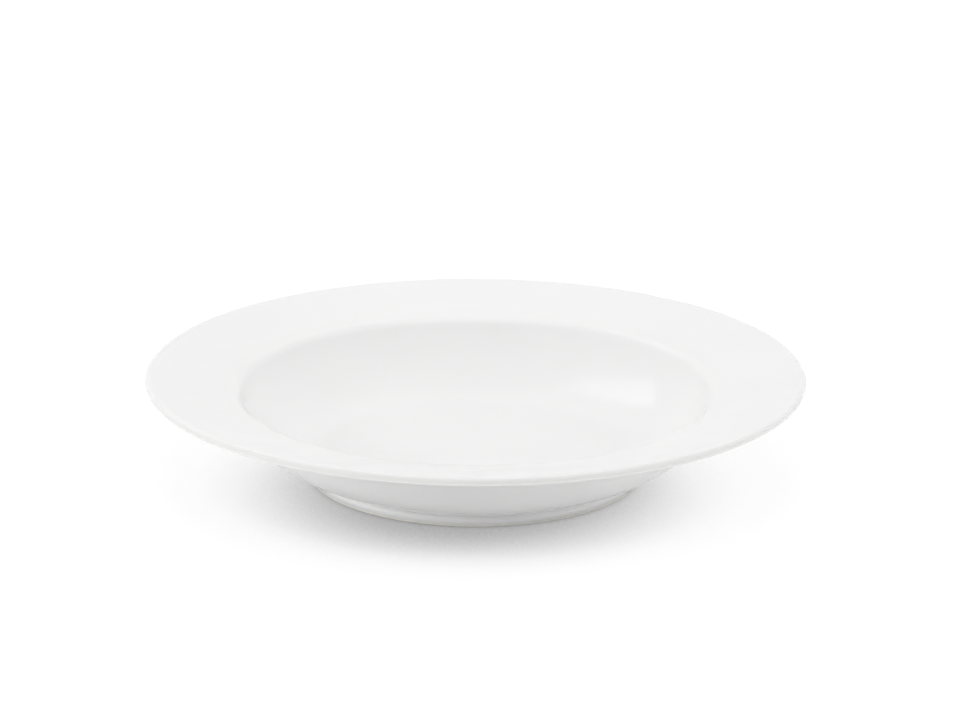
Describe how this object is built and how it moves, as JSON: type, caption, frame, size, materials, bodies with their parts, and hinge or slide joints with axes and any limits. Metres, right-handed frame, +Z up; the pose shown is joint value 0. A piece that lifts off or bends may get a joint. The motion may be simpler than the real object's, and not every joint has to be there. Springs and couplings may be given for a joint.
{
  "type": "soup plate",
  "caption": "Round soup plate of white glazed porcelain: a deep curved well inside a broad rim that rises to a rounded lip, standing on a low foot ring.",
  "frame": {"origin": "centre of the foot ring's standing face, on the surface that the plate stands on", "axes": "+Z up along the plate's axis, from the foot to the rim; +X and +Y lie level and are alike, because the plate is round"},
  "size_m": [0.24, 0.24, 0.0385],
  "materials": {
    "bare_clay": "matte",
    "glaze": "gloss"
  },
  "bodies": {
    "root": {"porcelain_body": "bare_clay", "outer_glaze": "glaze", "base_glaze": "glaze"}
  },
  "joints": []
}
